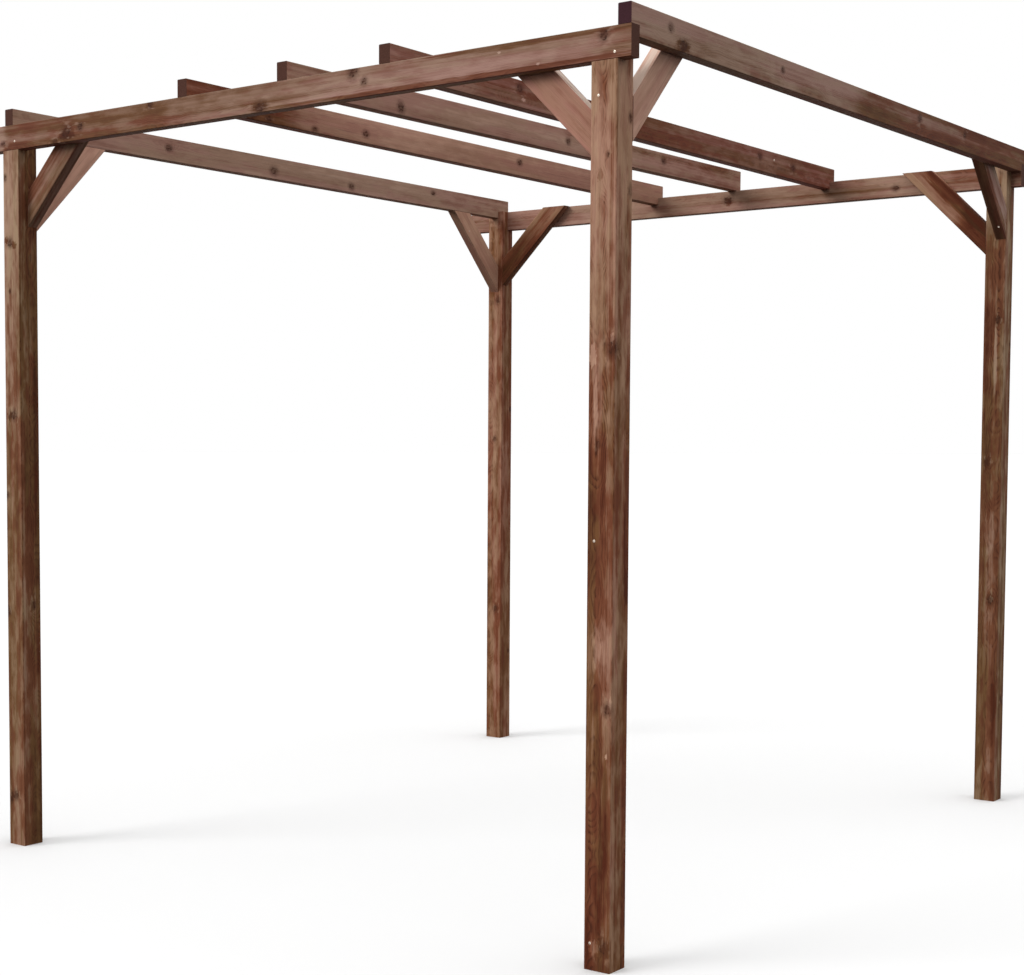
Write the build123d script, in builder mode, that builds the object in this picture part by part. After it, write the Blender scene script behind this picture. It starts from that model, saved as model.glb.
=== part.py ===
# Wooden pergola: four posts, two beams, five rafters and eight knee braces, all of sawn timber.
# Frame: millimetres, +X along the beams, +Y from the front beam to the back beam, +Z up,
# origin on the ground at the middle of the whole footprint.
import os

from build123d import *

os.makedirs("parts", exist_ok=True)

# Timber sections
post_width = 90.0
board_width = 95.0
board_thickness = 45.0
post_arris = 4.0
board_arris = 3.0

# Plan, over the outer faces of the posts
frame_width = 2740.0
frame_depth = 3310.0
left_overhang = 150.0

# Heights
beam_underside = 2685.0
rafter_notch_depth = 34.0

# Places of the rafters' left faces, from the outer face of the left posts
end_rafter_inset = 16.0
second_rafter = 948.0
third_rafter = 1417.0
fourth_rafter = 1855.0

# The third rafter has no notch at the back, where it lies on the beam and this far to the left
third_rafter_skew = 43.0

# Knee braces are cut at 45 degrees, and their lower edge rises this much
brace_rise = 384.0

# Clearance between a rafter's shoulder and the timber that it drops in front of
shoulder_clearance = 1.0

# Worked out
beam_top = beam_underside + board_width
rafter_underside = beam_top - rafter_notch_depth
rafter_top = rafter_underside + board_width
overall_width = left_overhang + frame_width + board_thickness
x_beam_start = -overall_width / 2
x_left = x_beam_start + left_overhang
x_right = x_left + frame_width
y_front = -frame_depth / 2
y_back = frame_depth / 2
brace_cut = board_width * 2**0.5


def write(piece, name):
    """Label a finished piece and write it under its own name."""
    piece.label = name
    export_step(piece, f"parts/{name}.step")


# Posts, each rebated at the top so that the beam sits flush with its outer face
def make_post(x, y, outward):
    with BuildPart() as post:
        with BuildSketch(Plane.XY):
            with Locations((x, y)):
                RectangleRounded(post_width, post_width, post_arris)
        extrude(amount=beam_top)
        with BuildSketch(Plane.XY.offset(beam_underside)):
            with Locations((x, y + outward * (post_width - board_thickness) / 2)):
                Rectangle(post_width, board_thickness)
        extrude(amount=board_width, mode=Mode.SUBTRACT)
    return post.part


post_columns = {"left": x_left + post_width / 2, "right": x_right - post_width / 2}
post_rows = {"front": (y_front + post_width / 2, -1), "back": (y_back - post_width / 2, 1)}
for row, (y, outward) in post_rows.items():
    for column, x in post_columns.items():
        write(make_post(x, y, outward), f"{row}_{column}_post")


# Beams, one board on edge over each pair of posts
def make_beam(y):
    with BuildPart() as beam:
        with BuildSketch(Plane.YZ.offset(x_beam_start)):
            with Locations((y, beam_underside + board_width / 2)):
                RectangleRounded(board_thickness, board_width, board_arris)
        extrude(amount=overall_width)
    return beam.part


write(make_beam(y_front + board_thickness / 2), "front_beam")
write(make_beam(y_back - board_thickness / 2), "back_beam")


# Rafters, drawn at their front end and run to the back; both ends are cut level to lie on the beams
def make_rafter(x, notch_length, skew=0.0, back_rise=0.0):
    run = Vector(-skew, frame_depth, back_rise)
    with BuildPart() as rafter:
        with BuildSketch(Plane.XZ.offset(-y_front)):
            with Locations((x, rafter_underside + board_width / 2)):
                RectangleRounded(board_thickness, board_width, board_arris)
        extrude(amount=run.length, dir=run)
        with BuildSketch(Plane.XY.offset(rafter_underside)):
            with Locations((x, y_front + notch_length / 2), (x - skew, y_back - notch_length / 2)):
                Rectangle(2 * board_thickness, notch_length)
        extrude(amount=rafter_notch_depth, mode=Mode.SUBTRACT)
    return rafter.part


over_beam = board_thickness + shoulder_clearance
over_post = post_width + shoulder_clearance
half_board = board_thickness / 2
left_end_x = x_left + end_rafter_inset + half_board
right_end_x = x_right + half_board
write(make_rafter(left_end_x, over_post), "left_end_rafter")
write(make_rafter(x_left + second_rafter + half_board, over_beam), "second_rafter")
third_x = x_left + third_rafter + half_board
write(make_rafter(third_x, over_beam, third_rafter_skew, rafter_notch_depth), "third_rafter")
write(make_rafter(x_left + fourth_rafter + half_board, over_beam), "fourth_rafter")
write(make_rafter(right_end_x, over_beam), "right_end_rafter")


# Knee braces, drawn in the plane of the board with the foot on the post
def make_brace(foot, away, across):
    with BuildPart() as brace:
        with BuildSketch(Plane(origin=foot, x_dir=away, z_dir=across)):
            with BuildLine():
                Polyline(
                    (0, 0),
                    (brace_rise, brace_rise),
                    (brace_rise - brace_cut, brace_rise),
                    (0, brace_cut),
                    close=True,
                )
            make_face()
        extrude(amount=board_thickness / 2, both=True)
        along = Axis((0, 0, 0), (away[0], away[1], 1))
        fillet(brace.edges().filter_by(along), board_arris)
    return brace.part


# Beam braces lap on the inner face of the beam, up to its top edge
for row, outward in {"front": -1, "back": 1}.items():
    y = outward * (frame_depth / 2 - 1.5 * board_thickness)
    for column, inward in {"left": 1, "right": -1}.items():
        x = x_left + post_width if column == "left" else x_right - post_width
        foot = (x, y, beam_top - brace_rise)
        write(make_brace(foot, (inward, 0, 0), (0, -inward, 0)), f"{row}_{column}_beam_brace")

# Rafter braces stand under the left end rafter, and lap on the inner face of the right one
for row, outward in {"front": -1, "back": 1}.items():
    y = outward * (frame_depth / 2 - post_width)
    away = (0, -outward, 0)
    across = (-outward, 0, 0)
    left_foot = (left_end_x, y, rafter_underside - brace_rise)
    right_foot = (x_right - board_thickness / 2, y, rafter_top - brace_rise)
    write(make_brace(left_foot, away, across), f"{row}_left_rafter_brace")
    write(make_brace(right_foot, away, across), f"{row}_right_rafter_brace")
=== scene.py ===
"""Looks for the timber pergola: stained softwood, screws, a pale floor and the photo's camera.

Metres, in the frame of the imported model: +X along the beams, +Y from front to back, +Z up.
"""

import math
import random

import bmesh
import bpy
from mathutils import Matrix, Vector


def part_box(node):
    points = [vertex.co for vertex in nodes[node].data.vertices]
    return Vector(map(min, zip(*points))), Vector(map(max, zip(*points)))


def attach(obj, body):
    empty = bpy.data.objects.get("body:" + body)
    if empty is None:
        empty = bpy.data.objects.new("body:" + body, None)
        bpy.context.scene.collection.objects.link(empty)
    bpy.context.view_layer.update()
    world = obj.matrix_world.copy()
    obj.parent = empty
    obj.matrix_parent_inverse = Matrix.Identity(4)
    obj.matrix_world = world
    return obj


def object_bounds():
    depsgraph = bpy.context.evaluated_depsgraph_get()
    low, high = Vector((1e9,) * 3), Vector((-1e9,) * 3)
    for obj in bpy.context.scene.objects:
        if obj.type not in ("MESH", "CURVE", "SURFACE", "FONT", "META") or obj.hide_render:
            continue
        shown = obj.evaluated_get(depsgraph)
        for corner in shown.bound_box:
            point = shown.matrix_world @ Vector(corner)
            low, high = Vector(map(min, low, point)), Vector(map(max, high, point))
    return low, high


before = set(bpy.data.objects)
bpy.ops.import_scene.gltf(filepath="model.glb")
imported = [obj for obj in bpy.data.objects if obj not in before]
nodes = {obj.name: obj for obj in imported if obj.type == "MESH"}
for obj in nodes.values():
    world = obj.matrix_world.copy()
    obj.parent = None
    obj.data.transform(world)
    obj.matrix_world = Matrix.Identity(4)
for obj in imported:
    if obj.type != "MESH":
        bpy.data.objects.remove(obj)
cad_low, cad_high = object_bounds()

POSTS = [f"{row}_{side}_post" for row in ("front", "back") for side in ("left", "right")]
BEAMS = ["front_beam", "back_beam"]
RAFTERS = ["left_end_rafter", "second_rafter", "third_rafter", "fourth_rafter", "right_end_rafter"]
BEAM_BRACES = [f"{row}_{side}_beam_brace" for row in ("front", "back") for side in ("left", "right")]
RAFTER_BRACES = [f"{row}_{side}_rafter_brace" for row in ("front", "back") for side in ("left", "right")]

# Half the sizes of the sections, from a beam that lies square to the frame and a post
beam_low, beam_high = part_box("front_beam")
HALF_WIDTH = (beam_high.z - beam_low.z) / 2
HALF_THICKNESS = (beam_high.y - beam_low.y) / 2
post_low, post_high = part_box("front_left_post")
HALF_POST = (post_high.x - post_low.x) / 2

# Where a post's front and right faces and a board's face lie from its middle, for the tables below
FRONT = -HALF_POST
SIDE = HALF_POST
FACE = HALF_THICKNESS


# Colours


def shade(red, green, blue):
    """An 8-bit display colour as the linear colour that a shader takes."""
    def linear(value):
        value /= 255
        return value / 12.92 if value <= 0.04045 else ((value + 0.055) / 1.055) ** 2.4
    return (linear(red), linear(green), linear(blue), 1.0)


BARE_WOOD = shade(214, 178, 150)
PALE_OLIVE = shade(172, 136, 110)
PALE_ROSE = shade(177, 135, 114)
MIDDLE_OLIVE = shade(121, 82, 52)
MIDDLE_RED = shade(128, 77, 54)
DEEP_OLIVE = shade(84, 50, 31)
DEEP_RED = shade(88, 42, 26)
LATEWOOD = shade(64, 32, 20)
KNOT_HEART = shade(78, 44, 30)
KNOT_RIM = shade(40, 22, 16)
END_GRAIN = shade(92, 60, 50)
DARK_END_GRAIN = shade(72, 42, 50)
# The painted highlight on braces' upward-facing edges
PAINTED_HIGHLIGHT = shade(226, 212, 198)
WEATHERED = shade(92, 84, 70)
ZINC = shade(226, 208, 192)
DULL_ZINC = shade(176, 168, 156)


# What each timber looks like

# Depth of the stain at shares of each board's length from its start: 1 is the deepest, and less than
# 0 is paler wood that took little of it
STAIN = {
    "front_right_post": [(0.0, 0.9), (0.15, 0.75), (0.3, 0.6), (0.35, 0.48), (0.42, 0.75), (0.58, 0.64),
                         (0.65, 0.48), (0.73, 0.32), (0.88, 0.12), (1.0, 0.25)],
    "front_left_post": [(0.0, 0.55), (0.3, 0.53), (0.5, 0.5), (0.65, 0.46), (0.8, 0.32), (0.88, 0.15),
                        (1.0, 0.4)],
    "back_right_post": [(0.0, 0.7), (0.12, 0.9), (0.3, 0.62), (0.5, 0.68), (0.8, 0.55), (0.89, 0.6),
                        (0.92, 0.3), (1.0, 0.2)],
    "back_left_post": [(0.0, 0.38), (0.3, 0.4), (0.65, 0.38), (1.0, 0.35)],
    "front_beam": [(0.0, 0.1), (0.05, 0.15), (0.06, 0.55), (0.27, 0.5), (0.345, 0.62), (0.36, 0.42),
                   (0.5, 0.28), (0.6, 0.05), (0.85, 0.0), (0.94, 0.2), (1.0, 0.5)],
    "back_beam": [(0.0, 0.38), (0.12, 0.25), (0.2, 0.1), (0.42, 0.18), (0.5, 0.15), (0.65, 0.2),
                  (0.73, 0.32), (0.8, 0.2), (0.9, 0.38), (1.0, 0.35)],
    "left_end_rafter": [(0.0, 0.2), (0.19, 0.1), (0.4, 0.16), (0.6, 0.1), (0.8, 0.1), (1.0, 0.2)],
    "second_rafter": [(0.0, 0.6), (0.14, 0.65), (0.19, 0.1), (0.35, -0.35), (0.6, -0.15), (0.8, 0.05),
                      (1.0, 0.1)],
    "third_rafter": [(0.0, 0.25), (0.4, 0.05), (0.73, 0.12), (0.82, 0.25), (1.0, 0.3)],
    "fourth_rafter": [(0.0, 0.4), (0.19, 0.55), (0.5, 0.65), (0.8, 0.42), (0.9, 0.5), (1.0, 0.55)],
    "right_end_rafter": [(0.0, 0.18), (0.12, 0.25), (0.3, 0.18), (0.46, 0.18), (0.5, 0.55), (0.7, 0.55),
                         (0.81, 0.68), (1.0, 0.7)],
    "front_right_beam_brace": [(0.0, 0.16), (0.4, 0.04), (1.0, 0.12)],
    "front_right_rafter_brace": [(0.0, -0.35), (0.6, -0.3), (1.0, 0.0)],
    "front_left_beam_brace": [(0.0, 0.3), (0.7, 0.25), (1.0, 0.5)],
    "front_left_rafter_brace": [(0.0, -0.5), (1.0, -0.6)],
    "back_right_beam_brace": [(0.0, 1.0), (0.3, 0.85), (0.42, 0.3), (1.0, 0.25)],
    "back_right_rafter_brace": [(0.0, 0.85), (1.0, 0.9)],
    "back_left_beam_brace": [(0.0, 0.55), (0.5, 0.42), (1.0, 0.1)],
    "back_left_rafter_brace": [(0.0, -0.2), (1.0, -0.25)],
}

# The same on the posts' left and right faces
SIDE_STAIN = {
    "front_right_post": [(0.0, 0.55), (0.2, 0.5), (0.27, 0.5), (0.35, 0.3), (0.5, 0.6), (0.62, 0.35),
                         (0.73, 0.3), (0.84, 0.15), (0.88, 0.2), (0.95, 0.05), (1.0, 0.5)],
    # The front left post's right face is darker than its front, all along
    "front_left_post": [(0.0, 0.8), (0.2, 0.72), (0.35, 0.52), (0.5, 0.7), (0.9, 0.55), (1.0, 0.45)],
    "back_right_post": [(0.0, 0.45), (1.0, 0.35)],
    "back_left_post": [(0.0, 0.5), (1.0, 0.5)],
}

# Darker or paler marks on the boards: along, across, out, half length, half width, and how much deeper
MARKS = {
    "front_right_post": [
        (1.175, 0.044, FRONT, 0.16, 0.01, 0.3), (0.7, 0.03, FRONT, 0.5, 0.008, 0.3),
        (-0.16, -0.03, FRONT, 0.45, 0.014, 0.2),
        (0.254, SIDE, 0.006, 0.17, 0.014, -0.1), (-0.243, SIDE, 0.03, 0.05, 0.014, 0.6),
        (-0.115, SIDE, 0.019, 0.14, 0.004, 0.5), (0.965, -0.011, FRONT, 0.02, 0.01, 0.3),
        (0.44, -0.03, FRONT, 0.035, 0.012, -0.5), (0.3, -0.02, FRONT, 0.09, 0.008, -0.4),
        (0.49, 0.035, FRONT, 0.02, 0.006, -0.6), (-0.585, 0.04, FRONT, 0.02, 0.005, -0.6),
        (-0.741, 0.027, FRONT, 0.008, 0.004, -0.8), (-0.42, -0.01, FRONT, 0.06, 0.016, -0.25),
        (0.1, 0.005, FRONT, 0.16, 0.012, 0.3), (-0.66, -0.005, FRONT, 0.16, 0.012, 0.2),
        (-1.0, 0.02, FRONT, 0.2, 0.016, 0.3), (-1.32, -0.01, FRONT, 0.025, 0.02, -0.4),
    ],
    "front_left_post": [
        (0.955, -0.03, FRONT, 0.014, 0.014, 0.5), (0.935, 0.015, FRONT, 0.014, 0.014, 0.5),
        (0.286, -0.019, FRONT, 0.02, 0.012, 0.5), (-1.2, -0.03, FRONT, 0.02, 0.012, 0.5),
        # Darker bands down the back half of the front left post's right face
        (1.2, SIDE, 0.03, 0.22, 0.02, 0.3), (0.2, SIDE, 0.032, 1.2, 0.018, 0.2),
    ],
    "back_right_post": [
        (0.6, -0.03, FRONT, 0.3, 0.01, 0.3), (0.55, 0.01, FRONT, 0.14, 0.008, -0.35),
        (-0.2, 0.0, FRONT, 0.1, 0.02, -0.25),
    ],
    "front_beam": [
        (-0.946, -0.02, FACE, 0.04, 0.024, 0.3), (0.023, -0.03, FACE, 0.03, 0.012, 0.4),
        (0.85, -0.042, FACE, 0.75, 0.014, 0.4), (1.1, 0.04, FACE, 0.35, 0.012, 0.3),
        (1.146, -0.03, FACE, 0.006, 0.004, -0.5), (1.005, 0.022, FACE, 0.006, 0.004, -0.6),
    ],
    "right_end_rafter": [(-1.35, -0.028, FACE, 0.04, 0.016, 0.5), (0.6, 0.02, FACE, 0.3, 0.012, -0.2)],
    # Painted shadow on the second rafter, just behind the front beam's lower edge
    "second_rafter": [(-1.37, -0.025, FACE, 0.06, 0.05, 0.4)],
    "fourth_rafter": [(-0.903, -0.018, FACE, 0.012, 0.006, -0.8)],
    "back_beam": [(0.059, -0.005, FACE, 0.02, 0.02, 0.4)],
    "back_left_post": [(1.36, 0.0, FRONT, 0.05, 0.04, -0.3)],
    "back_right_beam_brace": [(-0.1, -0.03, FACE, 0.34, 0.034, 0.6)],
    # Painted light on the back right rafter brace: its right face is paler, as lit from that side
    "back_right_rafter_brace": [(0.0, -0.02, FACE, 0.4, 0.05, -0.65)],
}

# Knots on the faces that the photo shows: along, across and out of the board from its centre, and radius
KNOTS = {
    "front_right_post": [
        (0.462, 0.038, FRONT, 0.012), (-0.6, 0.03, FRONT, 0.009), (-1.315, 0.023, FRONT, 0.01),
        (1.023, 0.015, FRONT, 0.004), (1.136, SIDE, 0.03, 0.007),
    ],
    "front_left_post": [
        (1.194, -0.033, FRONT, 0.006), (0.945, -0.01, FRONT, 0.008), (0.761, -0.011, FRONT, 0.004),
        (0.286, 0.005, FRONT, 0.009), (-1.195, -0.006, FRONT, 0.009), (-0.45, SIDE, 0.01, 0.008),
    ],
    "front_beam": [
        (-1.315, -0.019, FACE, 0.006), (-0.955, -0.012, FACE, 0.011), (-1.016, -0.041, FACE, 0.006),
        (-0.877, 0.0, FACE, 0.007), (-0.508, 0.044, FACE, 0.006), (0.023, -0.03, FACE, 0.012),
        (0.43, 0.039, FACE, 0.009), (0.476, 0.001, FACE, 0.006), (1.375, 0.024, FACE, 0.007),
    ],
    "right_end_rafter": [
        (-1.429, 0.012, FACE, 0.007), (-1.35, -0.028, FACE, 0.012), (-0.689, 0.009, FACE, 0.006),
        (0.474, 0.019, FACE, 0.009), (0.941, 0.018, FACE, 0.007),
    ],
    "fourth_rafter": [
        (0.903, 0.015, FACE, 0.009), (1.224, 0.003, FACE, 0.01), (-0.926, 0.019, FACE, 0.009),
    ],
    "left_end_rafter": [
        (-0.179, -0.011, FACE, 0.011), (-0.83, 0.006, FACE, 0.009), (0.362, -0.019, FACE, 0.009),
        (1.0, 0.02, FACE, 0.008),
    ],
    "second_rafter": [
        (-1.231, -0.031, FACE, 0.008), (-0.973, -0.034, FACE, 0.007), (-0.668, -0.011, FACE, 0.009),
        (0.4, 0.01, FACE, 0.009),
    ],
    "third_rafter": [(-1.032, -0.031, FACE, 0.009), (0.1, 0.0, FACE, 0.008), (0.9, 0.02, FACE, 0.009)],
    "back_beam": [(0.059, 0.006, FACE, 0.012), (-0.5, 0.0, FACE, 0.008), (0.9, -0.01, FACE, 0.008)],
    "back_left_post": [(0.929, 0.017, FRONT, 0.009), (0.2, 0.0, FRONT, 0.007), (-0.7, 0.01, FRONT, 0.009)],
    "back_right_post": [
        (0.72, 0.017, FRONT, 0.009), (-0.501, 0.009, FRONT, 0.01), (0.1, -0.02, FRONT, 0.008),
    ],
}

# Where the middle of the log ran past a board, across and out of it, and its heartwood's radius
PITHS = {
    "front_right_post": (-0.015, 0.03, 0.06), "front_left_post": (-0.06, 0.02, 0.06),
    "back_right_post": (0.02, 0.05, 0.07), "back_left_post": (-0.03, 0.06, 0.06),
    "front_beam": (-0.05, -0.03, 0.056), "back_beam": (0.03, -0.05, 0.06),
    "left_end_rafter": (0.03, -0.05, 0.06), "second_rafter": (-0.03, -0.06, 0.07),
    "third_rafter": (0.05, -0.04, 0.06), "fourth_rafter": (-0.02, -0.04, 0.05),
    "right_end_rafter": (-0.045, -0.05, 0.07), "front_right_beam_brace": (0.09, -0.06, 0.04),
    "front_right_rafter_brace": (-0.09, -0.05, 0.04), "back_right_beam_brace": (-0.08, -0.06, 0.04),
}

# The same for the other boards, at a random place up to this far across them
OTHER_PITH_ACROSS = 0.04
OTHER_PITH_OUT = -0.05
OTHER_HEART = 0.06

# Braces whose upward-facing edge gets a painted highlight, for the light from above, and how much
PAINTED_TOP_LIGHT = {"front_right_beam_brace": 0.85, "front_right_rafter_brace": 0.6}

# Each timber took the stain in its own hue: factors on the red, green and blue of its colours
TINTS = {
    "front_right_post": (1.01, 0.985, 0.975), "front_left_post": (0.97, 1.07, 1.05),
    "back_right_post": (0.96, 1.08, 1.08), "back_left_post": (1.02, 0.96, 0.94),
    "front_beam": (0.94, 0.98, 1.14), "back_beam": (0.95, 0.97, 1.08),
    "left_end_rafter": (0.95, 0.97, 1.08), "second_rafter": (1.0, 0.9, 0.96),
    "third_rafter": (0.99, 0.97, 1.08), "fourth_rafter": (1.0, 0.91, 1.08),
    "right_end_rafter": (0.92, 1.0, 1.16), "front_right_beam_brace": (1.02, 0.89, 0.97),
    "front_right_rafter_brace": (1.0, 0.92, 1.0), "front_left_beam_brace": (0.93, 1.0, 1.1),
    "front_left_rafter_brace": (1.02, 0.89, 0.96), "back_right_beam_brace": (0.89, 0.86, 0.82),
    "back_right_rafter_brace": (1.0, 1.15, 1.4), "back_left_beam_brace": (0.9, 0.84, 0.8),
    "back_left_rafter_brace": (1.0, 0.9, 0.92),
}

# How far the growth rings stand out, and how uneven the stain is
FIGURES = {"front_right_post": 1.0, "front_left_post": 0.8, "back_right_post": 0.9}
OTHER_FIGURE = 0.65
BLOTCHY_POST = 0.32
BLOTCHY_BOARD = 0.18

# How thick a year's growth is, in metres
RING_LEAST = 0.0024
RING_MOST = 0.0034

# Marks are moved this far apart, for each place along a board, in the noise that makes them ragged
MARK_VARIETY = 40

# Colours from bare wood to the deepest stain: where a stage starts and ends, and its two hues
STAIN_STAGES = [
    (-0.7, -0.1, PALE_OLIVE, PALE_ROSE),
    (0.0, 0.5, MIDDLE_OLIVE, MIDDLE_RED),
    (0.5, 1.0, DEEP_OLIVE, DEEP_RED),
]


# Shader building


class Graph:
    """Short calls that add linked nodes to one node tree."""

    def __init__(self, tree):
        self.tree = tree

    def node(self, kind, **settings):
        made = self.tree.nodes.new(kind)
        for name, value in settings.items():
            setattr(made, name, value)
        return made

    def put(self, socket, value):
        if isinstance(value, bpy.types.NodeSocket):
            self.tree.links.new(value, socket)
        elif value is not None:
            socket.default_value = value

    def math(self, operation, a, b=None, c=None):
        made = self.node("ShaderNodeMath", operation=operation)
        for socket, value in zip(made.inputs, (a, b, c)):
            self.put(socket, value)
        return made.outputs[0]

    def times(self, a, b):
        return self.math("MULTIPLY", a, b)

    def plus(self, a, b):
        return self.math("ADD", a, b)

    def minus(self, a, b):
        return self.math("SUBTRACT", a, b)

    def over(self, a, b):
        return self.math("DIVIDE", a, b)

    def larger(self, a, b):
        return self.math("MAXIMUM", a, b)

    def smaller(self, a, b):
        return self.math("MINIMUM", a, b)

    def vector(self, operation, a, b=None, scale=None):
        """A vector node. Its fourth socket is the scale, and a length or product leaves by the second."""
        made = self.node("ShaderNodeVectorMath", operation=operation)
        self.put(made.inputs[0], a)
        self.put(made.inputs[1], b)
        self.put(made.inputs[3], scale)
        return made.outputs[1 if operation in ("LENGTH", "DOT_PRODUCT") else 0]

    def split(self, vector):
        made = self.node("ShaderNodeSeparateXYZ")
        self.put(made.inputs[0], vector)
        return made.outputs

    def join(self, x, y, z):
        made = self.node("ShaderNodeCombineXYZ")
        for socket, value in zip(made.inputs, (x, y, z)):
            self.put(socket, value)
        return made.outputs[0]

    def noise(self, vector, scale=1.0, detail=2.0, roughness=0.5):
        made = self.node("ShaderNodeTexNoise")
        self.put(made.inputs["Vector"], vector)
        made.inputs["Scale"].default_value = scale
        made.inputs["Detail"].default_value = detail
        made.inputs["Roughness"].default_value = roughness
        return made.outputs["Fac"]

    def noise_color(self, vector):
        made = self.node("ShaderNodeTexNoise")
        self.put(made.inputs["Vector"], vector)
        return made.outputs["Color"]

    def span(self, value, low, high, smooth=True):
        """0 at low and 1 at high, with a soft step between them."""
        made = self.node("ShaderNodeMapRange", interpolation_type="SMOOTHSTEP" if smooth else "LINEAR")
        self.put(made.inputs["Value"], value)
        self.put(made.inputs["From Min"], low)
        self.put(made.inputs["From Max"], high)
        return made.outputs["Result"]

    def blend(self, factor, a, b, mode="MIX"):
        """Colour a, towards b by the factor. A mix node has its colours at sockets 6, 7 and, leaving, 2."""
        made = self.node("ShaderNodeMix", data_type="RGBA", blend_type=mode)
        self.put(made.inputs[0], factor)
        self.put(made.inputs[6], a)
        self.put(made.inputs[7], b)
        return made.outputs[2]

    def swing(self, value, noise, amount):
        """value, moved up or down by a noise that averages one half."""
        offset = self.times(self.minus(noise, 0.5), amount)
        return self.plus(value, offset)

    def curve(self, value, stops):
        """A curve through (place, level) stops."""
        made = self.node("ShaderNodeValToRGB")
        self.put(made.inputs[0], value)
        ramp = made.color_ramp
        while len(ramp.elements) < len(stops):
            ramp.elements.new(0.5)
        for element, (place, level) in zip(ramp.elements, stops):
            element.position = place
            element.color = (level, level, level, 1.0)
        return made.outputs["Color"]

    def facing(self, normal, axis):
        """How far a surface faces along an axis, either way, from 0 to 1."""
        return self.math("ABSOLUTE", self.vector("DOT_PRODUCT", normal, tuple(axis)))


def blank_graph(owner):
    """An empty node tree in a material or a world."""
    owner.use_nodes = True
    owner.node_tree.nodes.clear()
    return Graph(owner.node_tree)


def seen_rays(graph):
    """1 for rays from the camera, also by way of a mirror or glass, and 0 for the light on other things."""
    rays = graph.node("ShaderNodeLightPath").outputs
    mirrored = graph.larger(rays["Is Glossy Ray"], rays["Is Transmission Ray"])
    return graph.larger(rays["Is Camera Ray"], mirrored)


def make_group(name, inputs, outputs):
    """An empty node group, with its graph and its entry and leaving sockets."""
    tree = bpy.data.node_groups.new(name, "ShaderNodeTree")
    for label, kind in inputs:
        tree.interface.new_socket(label, in_out="INPUT", socket_type="NodeSocket" + kind)
    for label, kind in outputs:
        tree.interface.new_socket(label, in_out="OUTPUT", socket_type="NodeSocket" + kind)
    graph = Graph(tree)
    entry = graph.node("NodeGroupInput").outputs
    leave = graph.node("NodeGroupOutput").inputs
    return tree, graph, entry, leave


def knot_group():
    """One branch, from the log's pith out through a point on the board's face.

    Place is in the board's own metres, x along the grain. Swell bends the growth rings round the
    knot, Core is its distance in radii and Dark its mask.
    """
    tree, graph, entry, leave = make_group(
        "knot",
        [("Place", "Vector"), ("Pith", "Vector"), ("Face", "Vector"), ("Radius", "Float")],
        [("Swell", "Float"), ("Core", "Float"), ("Dark", "Float")],
    )
    start = graph.vector("MULTIPLY", entry["Face"], (1.0, 0.0, 0.0))
    start = graph.vector("ADD", start, graph.vector("MULTIPLY", entry["Pith"], (0.0, 1.0, 1.0)))
    start = graph.vector("SUBTRACT", start, graph.join(graph.times(entry["Radius"], 0.8), 0.0, 0.0))
    away = graph.vector("NORMALIZE", graph.vector("SUBTRACT", entry["Face"], start))
    reach = graph.vector("SUBTRACT", entry["Place"], start)
    outward = graph.vector("DOT_PRODUCT", reach, away)
    across = graph.vector("SUBTRACT", reach, graph.vector("SCALE", away, scale=outward))
    distance = graph.vector("LENGTH", graph.vector("MULTIPLY", across, (0.62, 1.0, 1.0)))
    rough = graph.noise(entry["Place"], scale=110.0, detail=3.0, roughness=0.6)
    core = graph.swing(graph.over(distance, entry["Radius"]), rough, 1.3)
    stretched = graph.vector("LENGTH", graph.vector("MULTIPLY", across, (0.42, 1.0, 1.0)))
    stretched = graph.over(stretched, graph.times(entry["Radius"], 2.0))
    swell = graph.math("POWER", math.e, graph.times(graph.times(stretched, stretched), -1.0))
    ahead = graph.span(outward, -0.004, 0.01)
    leave_swell = graph.times(graph.times(swell, entry["Radius"]), ahead)
    graph.put(leave["Swell"], leave_swell)
    graph.put(leave["Core"], core)
    graph.put(leave["Dark"], graph.times(graph.span(core, 1.3, 0.7), ahead))
    return tree


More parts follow.
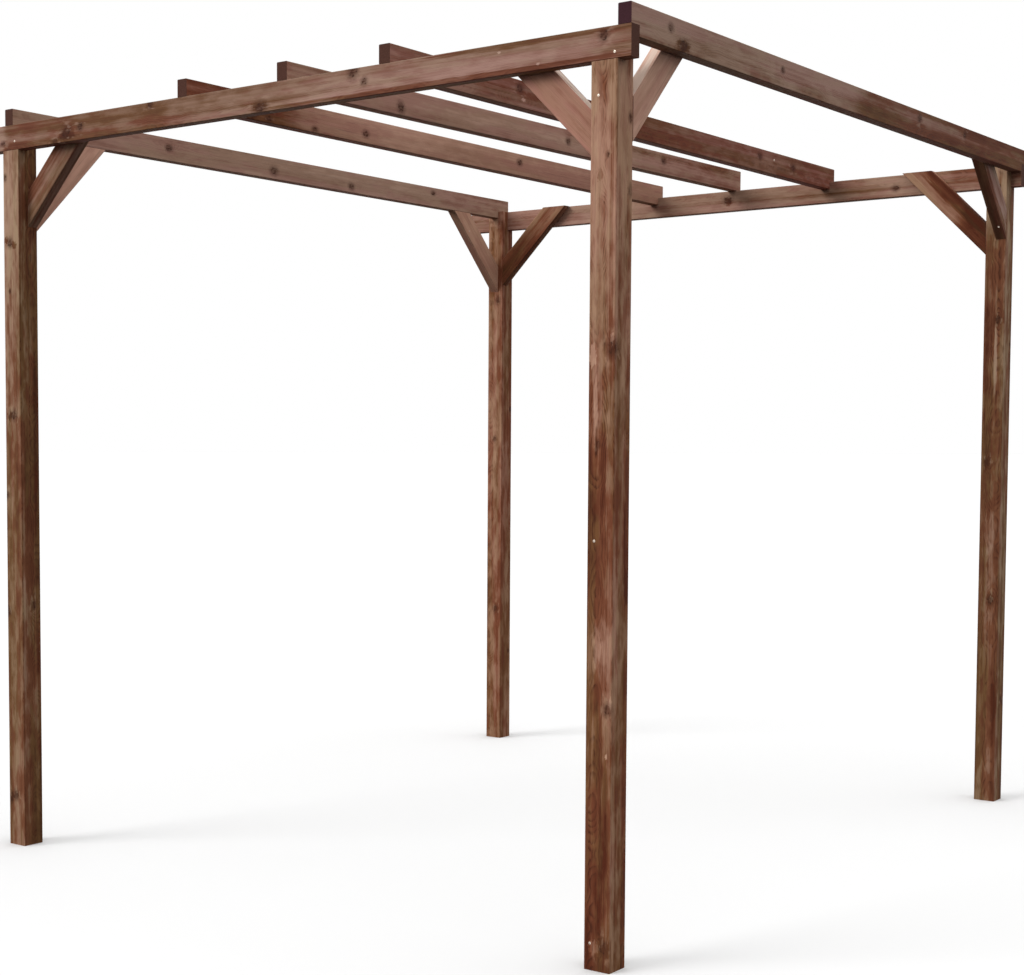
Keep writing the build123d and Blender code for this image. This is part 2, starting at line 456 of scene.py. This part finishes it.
def timber_group():
    """Stained softwood cut from a log: growth rings, cathedral figure, fibres and patchy stain.

    Place is in the board's own metres, x along the grain. Pith is where the middle of the log ran,
    Heart the radius of its darker heartwood, Stain how deep the colour is, from 0 to 1, and less where
    the wood is bare, Blotchy how uneven the stain is, and Figure how far the growth rings stand out.
    Noises run so many waves a metre along and across the grain.
    """
    tree, graph, entry, leave = make_group(
        "timber",
        [("Place", "Vector"), ("Pith", "Vector"), ("Shift", "Vector"), ("Ring", "Float"),
         ("Heart", "Float"), ("Stain", "Float"), ("Blotchy", "Float"), ("Figure", "Float"),
         ("Swell", "Float"), ("Core", "Float"), ("Dark", "Float")],
        [("Color", "Color"), ("Height", "Float"), ("Roughness", "Float")],
    )
    place = entry["Place"]
    moved = graph.vector("ADD", place, entry["Shift"])

    def grain_noise(along, across, detail, roughness=0.5):
        stretched = graph.vector("MULTIPLY", moved, (along, across, across))
        return graph.noise(stretched, detail=detail, roughness=roughness)

    sway = graph.split(graph.noise_color(graph.vector("MULTIPLY", moved, (0.8, 0.0, 0.0))))
    wander = graph.join(0.0, graph.minus(sway[0], 0.5), graph.minus(sway[1], 0.5))
    radial = graph.vector("SUBTRACT", place, entry["Pith"])
    radial = graph.vector("ADD", radial, graph.vector("SCALE", wander, scale=0.05))
    radius = graph.vector("LENGTH", graph.vector("MULTIPLY", radial, (0.0, 1.0, 1.0)))
    radius = graph.swing(radius, grain_noise(1.8, 18.0, 2.0), 0.007)
    radius = graph.swing(radius, grain_noise(22.0, 230.0, 2.0), 0.0016)
    radius = graph.minus(radius, entry["Swell"])
    year = graph.math("FRACT", graph.over(radius, entry["Ring"]))
    late = graph.curve(year, [(0.0, 0.25), (0.12, 0.0), (0.5, 0.12), (0.82, 0.8), (0.94, 1.0), (1.0, 0.3)])
    fibre = grain_noise(7.0, 480.0, 2.0, 0.65)
    streak = grain_noise(0.8, 95.0, 3.0, 0.6)
    band = grain_noise(0.5, 30.0, 2.0)
    patch = grain_noise(2.2, 8.0, 3.0, 0.55)
    blotch = grain_noise(9.0, 32.0, 3.0, 0.6)

    heart = graph.span(graph.minus(radius, entry["Heart"]), 0.006, -0.006)
    stain = entry["Stain"]
    for unevenness, amount in ((heart, 0.2), (band, 0.95), (streak, 0.5), (patch, 0.6)):
        stain = graph.swing(stain, unevenness, amount)
    stain = graph.swing(stain, graph.span(blotch, 0.36, 0.64), entry["Blotchy"])
    red = graph.span(graph.swing(grain_noise(1.4, 16.0, 3.0, 0.6), blotch, 0.5), 0.4, 0.6)
    color = BARE_WOOD
    for shallow, deep, olive, rose in STAIN_STAGES:
        reached = graph.span(stain, shallow, deep, smooth=False)
        color = graph.blend(reached, color, graph.blend(red, olive, rose))
    figure = graph.times(graph.span(stain, -0.3, 0.7), entry["Figure"])
    lines = graph.times(late, graph.times(graph.span(streak, 0.3, 0.7), figure))
    color = graph.blend(lines, color, LATEWOOD)
    shadow = graph.plus(graph.times(fibre, 0.6), graph.times(streak, 0.4))
    fibres = graph.curve(shadow, [(0.3, 0.62), (0.46, 0.96), (0.75, 1.0)])
    color = graph.blend(1.0, color, fibres, mode="MULTIPLY")

    knot_rings = graph.math("FRACT", graph.times(entry["Core"], 3.2))
    knot_color = graph.blend(graph.times(knot_rings, 0.5), KNOT_HEART, KNOT_RIM)
    rim = graph.times(graph.span(entry["Core"], 0.72, 0.95), graph.span(entry["Core"], 1.3, 1.0))
    ragged = grain_noise(70.0, 150.0, 3.0, 0.6)
    near_knot = graph.span(entry["Core"], 4.5, 1.5)
    fleck = graph.times(near_knot, graph.span(grain_noise(25.0, 70.0, 2.0), 0.54, 0.66))
    color = graph.blend(graph.times(fleck, 0.6), color, PALE_OLIVE)
    color = graph.blend(graph.times(graph.span(entry["Core"], 2.6, 1.0), 0.45), color, LATEWOOD)
    depth = graph.times(entry["Dark"], graph.span(ragged, 0.38, 0.6))
    depth = graph.math("MULTIPLY_ADD", depth, 0.6, graph.times(entry["Dark"], 0.25))
    color = graph.blend(depth, color, knot_color)
    broken = graph.times(graph.span(ragged, 0.48, 0.6), 0.7)
    graph.put(leave["Color"], graph.blend(graph.times(rim, broken), color, KNOT_RIM))

    height = graph.plus(graph.times(late, 0.35), graph.times(fibre, 0.5))
    graph.put(leave["Height"], graph.plus(height, graph.times(entry["Dark"], 0.5)))
    graph.put(leave["Roughness"], graph.minus(0.84, graph.times(late, 0.14)))
    return tree


KNOT = knot_group()
TIMBER = timber_group()

middle = (cad_low + cad_high) / 2


class Board:
    """A board's centre, length, and its own axes: along the grain, across its face and out of it."""

    def __init__(self, node):
        self.node = node
        low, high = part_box(node)
        self.centre = (low + high) / 2
        size = high - low
        if node in POSTS:
            self.along, self.across = Vector((0, 0, 1)), Vector((1, 0, 0))
            self.half_across = self.half_out = size.x / 2
        elif node in BEAMS:
            self.along, self.across = Vector((1, 0, 0)), Vector((0, 0, 1))
            self.half_across, self.half_out = size.z / 2, size.y / 2
        elif node in RAFTERS:
            skew = size.x - 2 * HALF_THICKNESS
            rise = size.z - 2 * HALF_WIDTH
            self.along = Vector((-skew, size.y, rise)).normalized()
            self.across = Vector((0, 0, 1))
            self.half_across, self.half_out = HALF_WIDTH, HALF_THICKNESS
        else:
            inward = Vector((-math.copysign(1, self.centre.x - middle.x), 0, 0))
            if node in RAFTER_BRACES:
                inward = Vector((0, -math.copysign(1, self.centre.y), 0))
            self.inward = inward
            self.along = (inward + Vector((0, 0, 1))).normalized()
            self.across = (inward - Vector((0, 0, 1))).normalized()
            self.half_across, self.half_out = HALF_WIDTH, HALF_THICKNESS
            self.centre -= self.across * HALF_WIDTH
        self.out = self.along.cross(self.across)
        self.length = abs(size.dot(Vector([abs(value) for value in self.along])))

    def point(self, along, across, out):
        """A place on the board, given in its own metres from its centre, in the part's frame."""
        return self.centre + self.along * along + self.across * across + self.out * out


def join_knots(graph, place, pith, knots):
    """The swell, nearness and mask of all of a board's knots together."""
    swell, core, dark = 0.0, 9.0, 0.0
    for *face, radius in knots:
        made = graph.node("ShaderNodeGroup", node_tree=KNOT)
        for name, value in {"Place": place, "Pith": pith, "Face": face, "Radius": radius}.items():
            graph.put(made.inputs[name], value)
        swell = graph.plus(swell, made.outputs["Swell"])
        core = graph.smaller(core, made.outputs["Core"])
        dark = graph.larger(dark, made.outputs["Dark"])
    return swell, core, dark


def stain_curve(graph, share, stops):
    """The stain's depth along a board.

    A curve holds no negative level, so it runs at half size round 0.5.
    """
    halved = graph.curve(share, [(place, (level + 1) / 2) for place, level in stops])
    return graph.math("MULTIPLY_ADD", halved, 2.0, -1.0)


def stain_depth(graph, board, place, normal):
    """The board's stain, from its tables, with the marks that it has in the photo, and painted shade under
    beams and rafters.
    """
    share = graph.plus(graph.over(graph.split(place)[0], board.length), 0.5)
    depth = stain_curve(graph, share, STAIN[board.node])
    if board.node in SIDE_STAIN:
        side = graph.span(graph.facing(normal, board.across), 0.55, 0.85)
        depth = graph.blend(side, depth, stain_curve(graph, share, SIDE_STAIN[board.node]))
    for *centre, half_along, half_across, amount in MARKS.get(board.node, []):
        reach = graph.vector("SUBTRACT", place, tuple(centre))
        reach = graph.vector("DIVIDE", reach, (half_along, half_across, half_across))
        own_place = graph.vector("ADD", reach, (MARK_VARIETY * centre[0], 0.0, 0.0))
        ragged = graph.noise(own_place, scale=1.6, detail=4.0, roughness=0.6)
        edge = graph.swing(graph.vector("LENGTH", reach), ragged, 2.4)
        inside = graph.span(edge, 1.25, 0.65)
        depth = graph.plus(depth, graph.times(inside, amount))
    # Painted shade: beams and rafters take a deeper colour on their downward-facing faces, where little
    # light reaches
    if board.node in BEAMS + RAFTERS:
        painted_underside_shade = graph.span(graph.split(normal)[2], -0.5, -0.9)
        depth = graph.plus(depth, graph.times(painted_underside_shade, 0.4))
    return depth


def cut_mask(graph, board, normal):
    """1 where a surface is cut across the grain."""
    if board.node in BEAM_BRACES + RAFTER_BRACES:
        level_cut = graph.facing(normal, (0, 0, 1))
        foot_cut = graph.facing(normal, board.inward)
        return graph.span(graph.larger(level_cut, foot_cut), 0.85, 0.95)
    return graph.span(graph.facing(normal, board.along), 0.6, 0.8)


def timber_material(board, look, knots, chance):
    """The stain and grain of one board. Its knots are (along, across, out, radius) in metres."""
    material = bpy.data.materials.new(f"timber_{board.node}")
    graph = blank_graph(material)
    coordinates = graph.node("ShaderNodeTexCoord").outputs["Object"]
    offset = graph.vector("SUBTRACT", coordinates, tuple(board.centre))
    axes = (board.along, board.across, board.out)
    place = graph.join(*(graph.vector("DOT_PRODUCT", offset, tuple(axis)) for axis in axes))
    normal = graph.node("ShaderNodeNewGeometry").outputs["Normal"]
    pith = (0.0, *look["pith"])
    swell, core, dark = join_knots(graph, place, pith, knots)
    timber = graph.node("ShaderNodeGroup", node_tree=TIMBER)
    shift = tuple(chance.uniform(0, 50) for _ in range(3))
    values = {"Place": place, "Pith": pith, "Shift": shift, "Ring": look["ring"], "Heart": look["heart"],
              "Stain": stain_depth(graph, board, place, normal), "Blotchy": look["blotchy"],
              "Figure": look["figure"], "Swell": swell, "Core": core, "Dark": dark}
    for name, value in values.items():
        graph.put(timber.inputs[name], value)
    color = graph.blend(1.0, timber.outputs["Color"], look["tint"], mode="MULTIPLY")
    speckle = graph.noise(place, scale=260.0, detail=2.0)
    end_color = graph.blend(graph.times(speckle, 0.6), look["end"], KNOT_RIM)
    color = graph.blend(cut_mask(graph, board, normal), color, end_color)
    # Painted highlight: pale streaks on the upward-facing edge of these braces stand in for the light from
    # above
    if board.node in PAINTED_TOP_LIGHT:
        upward = graph.span(graph.vector("DOT_PRODUCT", normal, tuple(-board.across)), 0.75, 0.95)
        streaks = graph.span(graph.noise(graph.vector("MULTIPLY", place, (4.0, 90.0, 90.0))), 0.25, 0.5)
        painted_light = graph.times(upward, graph.times(streaks, PAINTED_TOP_LIGHT[board.node]))
        color = graph.blend(painted_light, color, PAINTED_HIGHLIGHT)
    elif board.node in BEAMS + RAFTERS:
        upward = graph.span(graph.split(normal)[2], 0.3, 0.8)
        color = graph.blend(graph.times(upward, graph.span(speckle, 0.2, 0.6)), color, WEATHERED)
    bump = graph.node("ShaderNodeBump")
    bump.inputs["Strength"].default_value = 0.6
    bump.inputs["Distance"].default_value = 0.0008
    graph.put(bump.inputs["Height"], timber.outputs["Height"])
    shader = graph.node("ShaderNodeBsdfPrincipled")
    shader.inputs["Specular IOR Level"].default_value = 0.08
    graph.put(shader.inputs["Base Color"], color)
    graph.put(shader.inputs["Roughness"], timber.outputs["Roughness"])
    graph.put(shader.inputs["Normal"], bump.outputs["Normal"])
    graph.put(graph.node("ShaderNodeOutputMaterial").inputs["Surface"], shader.outputs["BSDF"])
    return material


# Timber

TIMBER_SEED = 7
KNOT_SPACING = 0.7
KNOT_START_ROOM = 0.1
KNOT_END_ROOM = 0.08
KNOT_REACH = 0.7
SPACING_LEAST = 0.6
SPACING_MOST = 1.4
SMALL_KNOT = 0.005
LARGE_KNOT = 0.01


def further_knots(chance, post):
    """Knots on a post's left and back faces, some way apart along it."""
    knots = []
    along = -post.length / 2 + chance.uniform(KNOT_START_ROOM, KNOT_SPACING)
    while along < post.length / 2 - KNOT_END_ROOM:
        reach = chance.uniform(-KNOT_REACH, KNOT_REACH)
        on_left = (-post.half_across, reach * post.half_out)
        on_back = (reach * post.half_across, post.half_out)
        place = chance.choice([on_left, on_back])
        knots.append((along, *place, chance.uniform(SMALL_KNOT, LARGE_KNOT)))
        along += chance.uniform(SPACING_LEAST, SPACING_MOST) * KNOT_SPACING
    return knots


def dress_timber():
    chance = random.Random(TIMBER_SEED)
    for node in STAIN:
        board = Board(node)
        random_across = chance.uniform(-OTHER_PITH_ACROSS, OTHER_PITH_ACROSS)
        across, out, heart = PITHS.get(node, (random_across, OTHER_PITH_OUT, OTHER_HEART))
        look = {
            "pith": (across, out),
            "heart": heart,
            "ring": chance.uniform(RING_LEAST, RING_MOST),
            "end": DARK_END_GRAIN if node == "right_end_rafter" else END_GRAIN,
            "tint": (*TINTS[node], 1.0),
            "blotchy": BLOTCHY_POST if node in POSTS else BLOTCHY_BOARD,
            "figure": FIGURES.get(node, OTHER_FIGURE),
        }
        knots = KNOTS.get(node, [])
        if node in POSTS:
            knots = knots + further_knots(chance, board)
        material = timber_material(board, look, knots, chance)
        for material_slot in nodes[node].material_slots:
            material_slot.material = material


dress_timber()


# Screws

SCREW_SEED = 3
HEAD_RADIUS = 0.0042
HEAD_RISE = 0.0009
HEAD_SINK = 0.001
CROWN_SHARE = 0.8
CROWN_RISE = HEAD_RISE * 0.85
RECESS_DEPTH = 0.0018
RECESS_CORE = 0.0008
RECESS_ARM = 0.0016
RECESS_FLOOR_SHARE = 0.6
SCREW_FACES = 32


def screw_rings():
    """Rings of the head from the bottom of its cross recess out to its rim, as (radius, height)."""
    def cross(angle):
        return RECESS_CORE + RECESS_ARM * abs(math.cos(2 * angle)) ** 3
    return [
        (lambda angle: cross(angle) * RECESS_FLOOR_SHARE, -RECESS_DEPTH),
        (cross, HEAD_RISE),
        (lambda angle: HEAD_RADIUS * CROWN_SHARE, CROWN_RISE),
        (lambda angle: HEAD_RADIUS, 0.0),
        (lambda angle: HEAD_RADIUS, -HEAD_SINK),
    ]


def zinc_material():
    material = bpy.data.materials.new("zinc")
    graph = blank_graph(material)
    place = graph.node("ShaderNodeTexCoord").outputs["Object"]
    dull = graph.noise(place, scale=700.0, detail=2.0)
    shader = graph.node("ShaderNodeBsdfPrincipled")
    shader.inputs["Metallic"].default_value = 1.0
    graph.put(shader.inputs["Base Color"], graph.blend(dull, ZINC, DULL_ZINC))
    graph.put(shader.inputs["Roughness"], graph.plus(0.25, graph.times(dull, 0.3)))
    graph.put(graph.node("ShaderNodeOutputMaterial").inputs["Surface"], shader.outputs["BSDF"])
    return material


def make_screws(name, places, chance):
    """Cross-head screws as one mesh. A place is where the head sits and the way it faces."""
    mesh = bmesh.new()
    for place, facing in places:
        driven = Matrix.Rotation(chance.uniform(0, math.pi / 2), 3, "Z").to_quaternion()
        turn = facing.to_track_quat("Z", "Y") @ driven
        rings = []
        for radius, height in screw_rings():
            ring = []
            for step in range(SCREW_FACES):
                angle = 2 * math.pi * step / SCREW_FACES
                offset = Vector((radius(angle) * math.cos(angle), radius(angle) * math.sin(angle), height))
                ring.append(mesh.verts.new(place + turn @ offset))
            rings.append(ring)
        mesh.faces.new(rings[0])
        mesh.faces.new(reversed(rings[-1]))
        for inner, outer in zip(rings, rings[1:]):
            for step in range(SCREW_FACES):
                after = (step + 1) % SCREW_FACES
                mesh.faces.new((inner[step], outer[step], outer[after], inner[after]))
    data = bpy.data.meshes.new(name)
    mesh.to_mesh(data)
    mesh.free()
    screws = bpy.data.objects.new(name, data)
    bpy.context.scene.collection.objects.link(screws)
    screws.data.materials.append(ZINC_MATERIAL)
    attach(screws, "root")


ZINC_MATERIAL = zinc_material()

# Screws that the photo shows, on the boards' own axes
SEEN_SCREWS = [
    ("front_beam", 1.412, -0.028, FACE), ("front_beam", -1.248, -0.015, FACE),
    ("front_right_post", 1.196, -0.019, FRONT),
    ("front_right_post", -0.103, -0.021, FRONT), ("front_right_post", -1.308, -0.024, FRONT),
    ("back_left_rafter_brace", 0.118, 0.023, FACE), ("back_right_rafter_brace", -0.204, HALF_WIDTH, 0.006),
    ("fourth_rafter", 1.039, 0.015, FACE),
]

# Screws that the photo doesn't show: where the back beam lies on its posts, and through braces' feet
BEHIND_ALONG = 1.3
BEHIND_RISE = 0.025
BEHIND_SCREWS = [
    ("back_beam", end * BEHIND_ALONG, side * BEHIND_RISE, -FACE) for end in (-1, 1) for side in (-1, 1)
]
HIDDEN_FEET = [
    "front_right_beam_brace", "back_right_beam_brace",
    "front_left_rafter_brace", "front_right_rafter_brace",
]
FOOT_ALONG = -0.2
FOOT_SCREWS = [(node, FOOT_ALONG, HALF_WIDTH, 0.0) for node in HIDDEN_FEET]
SEAT_TOLERANCE = 0.0002


def screw_seats(places):
    """Each place in the part's frame, with the way that the board's surface faces there."""
    seats = []
    for node, along, across, out in places:
        board = Board(node)
        if math.isclose(abs(out), board.half_out, abs_tol=SEAT_TOLERANCE):
            facing = board.out * math.copysign(1, out)
        else:
            facing = board.across * math.copysign(1, across)
        seats.append((board.point(along, across, out), facing))
    return seats


def fit_screws():
    chance = random.Random(SCREW_SEED)
    make_screws("screws_in_view", screw_seats(SEEN_SCREWS), chance)
    make_screws("screws_behind", screw_seats(BEHIND_SCREWS), chance)
    make_screws("screws_at_feet", screw_seats(FOOT_SCREWS), chance)
    top = []
    for node in RAFTERS:
        board = Board(node)
        for end in (-1, 1):
            along = end * (board.length / 2 - HALF_THICKNESS)
            top.append((board.point(along, board.half_across, 0.0), Vector((0, 0, 1))))
    make_screws("screws_over_beams", top, chance)


fit_screws()


# Floor and light

FLOOR_SIZE = 400.0
FLOOR_SEEN = (0.68, 0.68, 0.68, 1)
FLOOR_UNSEEN = (0.03, 0.03, 0.03, 1)
WORLD_SEEN = (1, 1, 1, 1)
WORLD_UNSEEN = (0.86, 0.86, 0.86, 1)


def make_floor():
    bpy.ops.mesh.primitive_plane_add(size=FLOOR_SIZE, location=(0, 0, 0))
    floor = bpy.context.object
    floor.name = "floor"
    material = bpy.data.materials.new("floor_paint")
    graph = blank_graph(material)
    seen = seen_rays(graph)
    paint = graph.node("ShaderNodeBsdfDiffuse")
    graph.put(paint.inputs["Color"], graph.blend(seen, FLOOR_UNSEEN, FLOOR_SEEN))
    graph.put(graph.node("ShaderNodeOutputMaterial").inputs["Surface"], paint.outputs[0])
    floor.data.materials.append(material)


def make_world():
    world = bpy.data.worlds.new("studio")
    bpy.context.scene.world = world
    graph = blank_graph(world)
    seen = seen_rays(graph)
    background = graph.node("ShaderNodeBackground")
    graph.put(background.inputs["Color"], (1.0, 1.0, 1.0, 1.0))
    graph.put(background.inputs["Strength"], graph.blend(seen, WORLD_UNSEEN, WORLD_SEEN))
    graph.put(graph.node("ShaderNodeOutputWorld").inputs["Surface"], background.outputs[0])


def make_sun(name, direction_from, strength, softness_deg):
    lamp = bpy.data.lights.new(name, "SUN")
    lamp.energy = strength
    lamp.angle = math.radians(softness_deg)
    sun = bpy.data.objects.new(name, lamp)
    sun.rotation_mode = "QUATERNION"
    sun.rotation_quaternion = Vector(direction_from).to_track_quat("Z", "Y")
    bpy.context.scene.collection.objects.link(sun)


make_floor()
make_world()
make_sun("key_light", direction_from=(-0.45, -0.75, 0.5), strength=1.7, softness_deg=30)
make_sun("top_light", direction_from=(0.1, 0.1, 1.0), strength=1.3, softness_deg=60)


# Camera, matched to the edges of the posts, beams and rafters in the photo
PHOTO_WIDTH = 1024
PHOTO_HEIGHT = 975
FOCAL_PIXELS = 1766.7
PRINCIPAL_X = 403.6
PRINCIPAL_Y = 542.0
CAMERA_PLACE = (4.1271, -6.0986, 1.5839)
CAMERA_TURN_DEG = (86.690, -0.1405, 38.112)

camera_data = bpy.data.cameras.new("camera")
camera_data.sensor_width = 36.0
camera_data.sensor_fit = "HORIZONTAL"
camera_data.lens = FOCAL_PIXELS / PHOTO_WIDTH * camera_data.sensor_width
camera_data.shift_x = (PHOTO_WIDTH / 2 - PRINCIPAL_X) / PHOTO_WIDTH
camera_data.shift_y = (PRINCIPAL_Y - PHOTO_HEIGHT / 2) / PHOTO_WIDTH
camera_data.clip_end = 200.0
camera = bpy.data.objects.new("camera", camera_data)
camera.location = CAMERA_PLACE
camera.rotation_euler = [math.radians(angle) for angle in CAMERA_TURN_DEG]
bpy.context.scene.collection.objects.link(camera)
bpy.context.scene.camera = camera
bpy.context.scene.view_settings.view_transform = "Standard"
